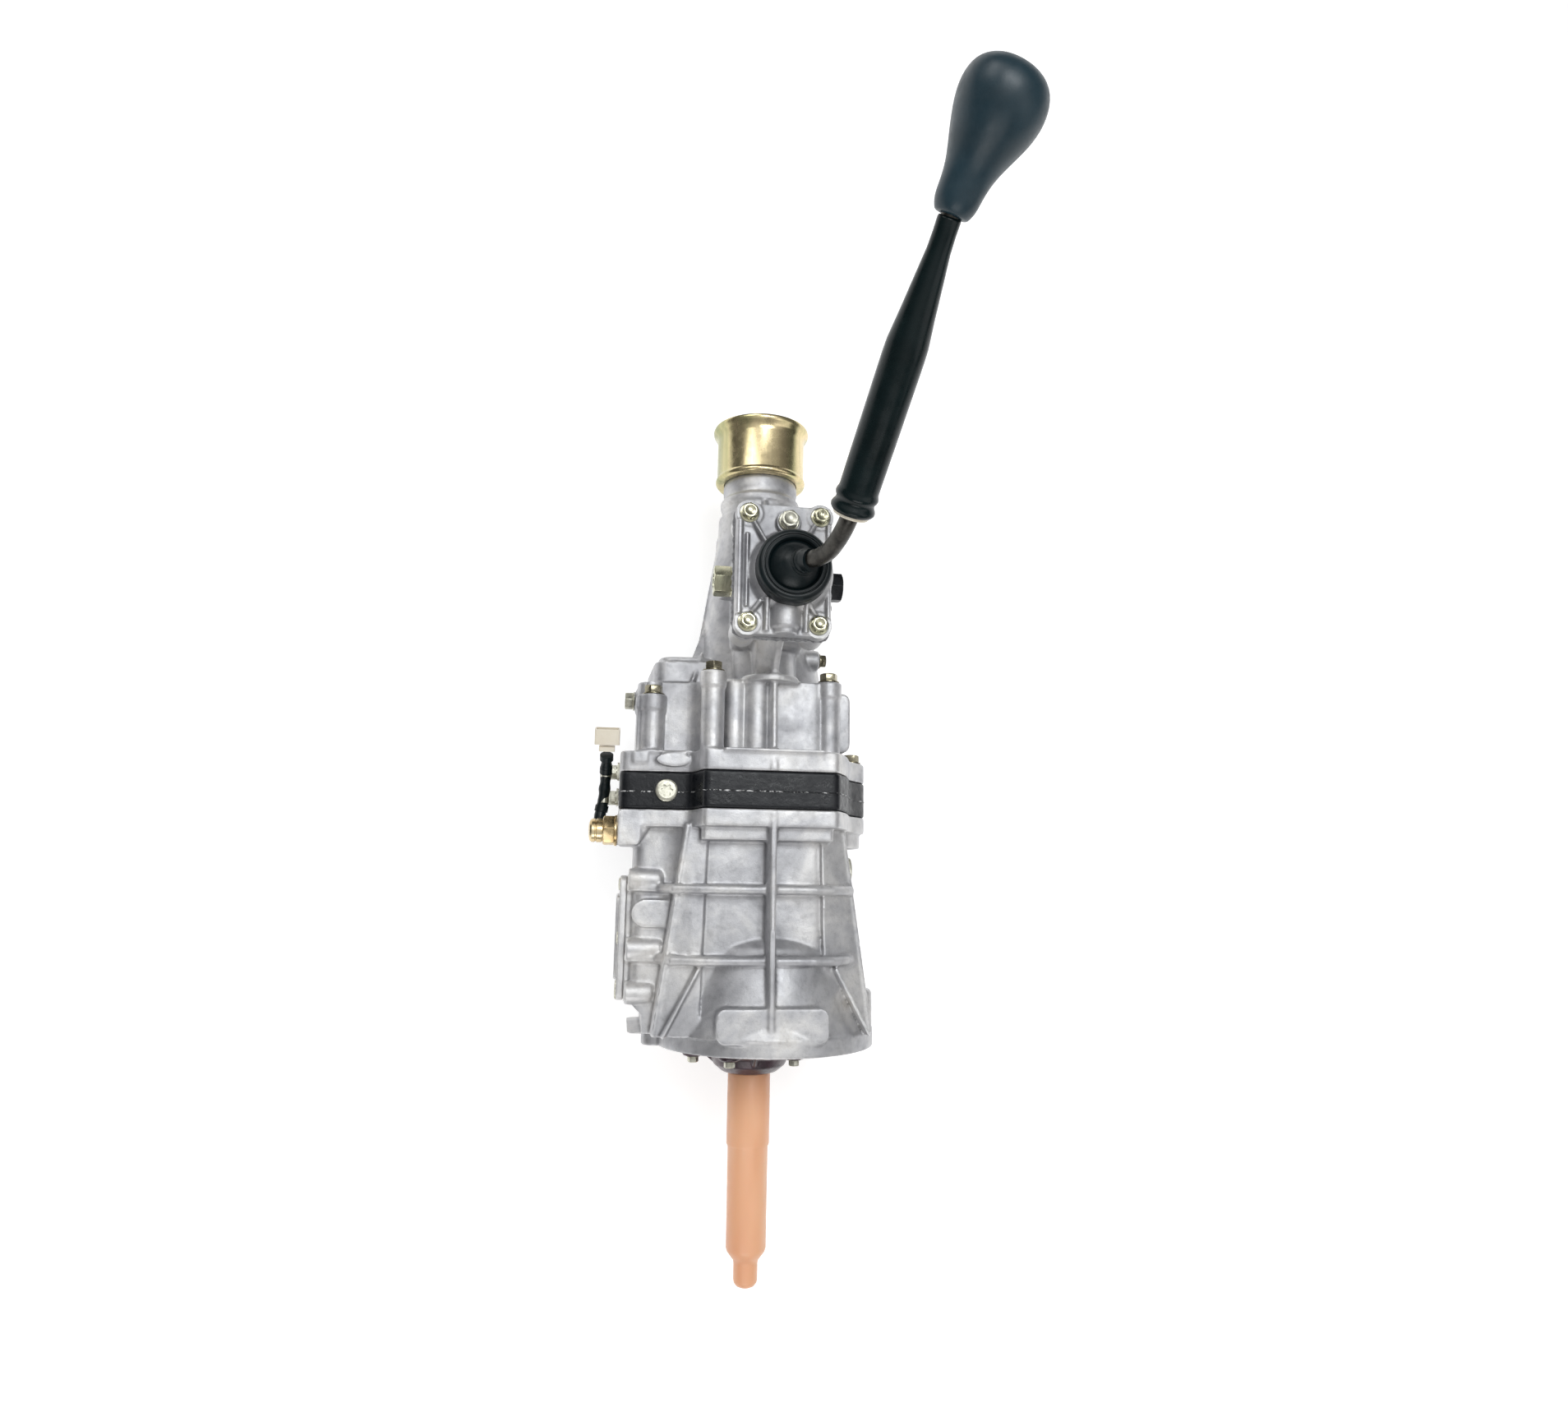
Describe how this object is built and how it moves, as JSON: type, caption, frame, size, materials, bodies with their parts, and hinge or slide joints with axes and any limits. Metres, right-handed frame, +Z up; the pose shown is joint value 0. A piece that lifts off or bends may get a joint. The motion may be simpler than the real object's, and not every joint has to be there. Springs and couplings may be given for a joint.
{
  "type": "manual transmission",
  "caption": "Rear-drive manual gearbox without its clutch housing: ribbed case, black mid plate, long tail housing, top-mounted gear lever and a capped input shaft.",
  "frame": {"origin": "on the ground under the main shaft, at the middle of the intermediate plate's underside", "axes": "+Y along the shafts towards the tail, +Z up towards the gear lever, +X to the right as seen from above with the tail pointing away"},
  "size_m": [0.2534, 0.7966, 0.5587],
  "materials": {
    "cast_aluminium": "as-cast, matt",
    "black_paint": "satin black paint",
    "brown_paint": "dark brown satin paint on cast iron",
    "yellow_zinc": "yellow zinc plate",
    "pale_zinc": "dull zinc plate",
    "brass": "turned",
    "rubber": "satin",
    "orange_plastic": "semi-gloss, moulded",
    "cream_plastic": "moulded nylon",
    "gear_steel": "ground",
    "bearing_steel": "polished",
    "bronze": "cast aluminium bronze",
    "lever_steel": "dark oxide",
    "black_gloss": "glossy black",
    "black_satin": "satin black"
  },
  "bodies": {
    "housing": {"front_case": "cast_aluminium", "intermediate_plate": "black_paint", "extension_housing": "cast_aluminium", "front_bearing_retainer": "brown_paint", "shift_lever_retainer": "cast_aluminium", "lever_cap": "black_satin", "dust_deflector": "yellow_zinc", "rear_oil_seal": "rubber", "side_cover": "cast_aluminium", "reverse_light_switch": "brass", "switch_lead": "rubber", "lead_connector": "cream_plastic", "lead_bracket": "pale_zinc", "restrict_pin_left": "yellow_zinc", "restrict_pin_right": "black_paint", "breather_plug": "pale_zinc", "filler_plug": "pale_zinc", "drain_plug": "pale_zinc", "detent_plug": "yellow_zinc", "tower_bolt_1": "yellow_zinc", "tower_bolt_2": "yellow_zinc", "tower_bolt_3": "yellow_zinc", "tower_bolt_4": "yellow_zinc", "extension_bolt_1": "yellow_zinc", "extension_bolt_2": "yellow_zinc", "extension_bolt_3": "yellow_zinc", "input_bearing": "bearing_steel", "center_bearing": "bearing_steel", "counter_front_bearing": "bearing_steel", "counter_center_bearing": "bearing_steel", "idler_shaft": "bearing_steel"},
    "input": {"input_shaft": "gear_steel"},
    "cover": {"shaft_cover": "orange_plastic"},
    "output": {"output_shaft": "gear_steel", "hub_12": "gear_steel", "hub_34": "gear_steel", "hub_5r": "gear_steel"},
    "synchro_12": {"sleeve_12": "gear_steel"},
    "synchro_34": {"sleeve_34": "gear_steel"},
    "synchro_5r": {"sleeve_5r": "gear_steel"},
    "selector_12": {"rail_12": "bearing_steel", "fork_12": "bronze"},
    "selector_34": {"rail_34": "bearing_steel", "fork_34": "bronze"},
    "selector_5r": {"rail_5r": "bearing_steel", "fork_5r": "bronze"},
    "first": {"first_gear": "gear_steel"},
    "second": {"second_gear": "gear_steel"},
    "third": {"third_gear": "gear_steel"},
    "fifth": {"fifth_gear": "gear_steel"},
    "reverse": {"reverse_gear": "gear_steel"},
    "layshaft": {"countershaft": "gear_steel"},
    "idler": {"reverse_idler_gear": "gear_steel"},
    "guide": {"rod_guide": "gear_steel"},
    "remote_rod": {"shift_rod": "gear_steel"},
    "gimbal": {"lever_ball_seat": "cream_plastic"},
    "lever": {"shift_lever": "lever_steel", "lever_boot": "rubber", "lever_damper": "black_gloss", "gear_knob": "black_satin"}
  },
  "joints": [
    {"name": "input_spin", "type": "hinge", "parent": "housing", "child": "input", "pos_m": [0, 0, 0.132], "axis": [0, 1, 0], "continuous": true},
    {"name": "cover_slide", "type": "slide", "parent": "housing", "child": "cover", "axis": [0, -1, 0], "range_m": [0, 0.17]},
    {"name": "output_spin", "type": "hinge", "parent": "housing", "child": "output", "pos_m": [0, 0, 0.132], "axis": [0, 1, 0], "continuous": true},
    {"name": "countershaft_spin", "type": "hinge", "parent": "housing", "child": "layshaft", "pos_m": [0, 0, 0.0605], "axis": [0, 1, 0], "continuous": true},
    {"name": "first_spin", "type": "hinge", "parent": "housing", "child": "first", "pos_m": [0, 0, 0.132], "axis": [0, 1, 0], "continuous": true},
    {"name": "second_spin", "type": "hinge", "parent": "housing", "child": "second", "pos_m": [0, 0, 0.132], "axis": [0, 1, 0], "continuous": true},
    {"name": "third_spin", "type": "hinge", "parent": "housing", "child": "third", "pos_m": [0, 0, 0.132], "axis": [0, 1, 0], "continuous": true},
    {"name": "fifth_spin", "type": "hinge", "parent": "housing", "child": "fifth", "pos_m": [0, 0, 0.132], "axis": [0, 1, 0], "continuous": true},
    {"name": "reverse_spin", "type": "hinge", "parent": "housing", "child": "reverse", "pos_m": [0, 0, 0.132], "axis": [0, 1, 0], "continuous": true},
    {"name": "idler_spin", "type": "hinge", "parent": "housing", "child": "idler", "pos_m": [0.03938, 0.08, 0.07232], "axis": [0, 1, 0], "continuous": true},
    {"name": "rail_12_slide", "type": "slide", "parent": "housing", "child": "selector_12", "axis": [0, 1, 0], "range_m": [-0.008, 0.008]},
    {"name": "rail_34_slide", "type": "slide", "parent": "housing", "child": "selector_34", "axis": [0, 1, 0], "range_m": [-0.008, 0.008]},
    {"name": "rail_5r_slide", "type": "slide", "parent": "housing", "child": "selector_5r", "axis": [0, 1, 0], "range_m": [-0.008, 0.008]},
    {"name": "sleeve_12_slide", "type": "slide", "parent": "output", "child": "synchro_12", "axis": [0, 1, 0], "range_m": [-0.008, 0.008]},
    {"name": "sleeve_34_slide", "type": "slide", "parent": "output", "child": "synchro_34", "axis": [0, 1, 0], "range_m": [-0.008, 0.008]},
    {"name": "sleeve_5r_slide", "type": "slide", "parent": "output", "child": "synchro_5r", "axis": [0, 1, 0], "range_m": [-0.008, 0.008]},
    {"name": "lever_select", "type": "hinge", "parent": "housing", "child": "gimbal", "pos_m": [0.006, 0.163, 0.286], "axis": [0, 1, 0], "range_deg": [-6, 6]},
    {"name": "lever_shift", "type": "hinge", "parent": "gimbal", "child": "lever", "pos_m": [0.006, 0.163, 0.286], "axis": [1, 0, 0], "range_deg": [-10, 10]},
    {"name": "guide_slide", "type": "slide", "parent": "housing", "child": "guide", "axis": [0, 1, 0], "range_m": [-0.008, 0.008]},
    {"name": "rod_turn", "type": "hinge", "parent": "guide", "child": "remote_rod", "pos_m": [0, 0.19, 0.18], "axis": [0, 1, 0], "range_deg": [-4.6, 4.6]}
  ],
  "couplings": [
    {"joint": "input_spin", "follows": "countershaft_spin", "ratio": -1.3529},
    {"joint": "first_spin", "follows": "countershaft_spin", "ratio": -0.33333},
    {"joint": "second_spin", "follows": "countershaft_spin", "ratio": -0.6},
    {"joint": "third_spin", "follows": "countershaft_spin", "ratio": -0.90476},
    {"joint": "fifth_spin", "follows": "countershaft_spin", "ratio": -1.6667},
    {"joint": "idler_spin", "follows": "countershaft_spin", "ratio": -0.64286},
    {"joint": "reverse_spin", "follows": "countershaft_spin", "ratio": 0.34615},
    {"joint": "sleeve_12_slide", "follows": "rail_12_slide", "ratio": 1},
    {"joint": "sleeve_34_slide", "follows": "rail_34_slide", "ratio": 1},
    {"joint": "sleeve_5r_slide", "follows": "rail_5r_slide", "ratio": 1},
    {"joint": "guide_slide", "follows": "lever_shift", "m_per_rad": 0.045},
    {"joint": "rod_turn", "follows": "lever_select", "ratio": -0.73771}
  ]
}
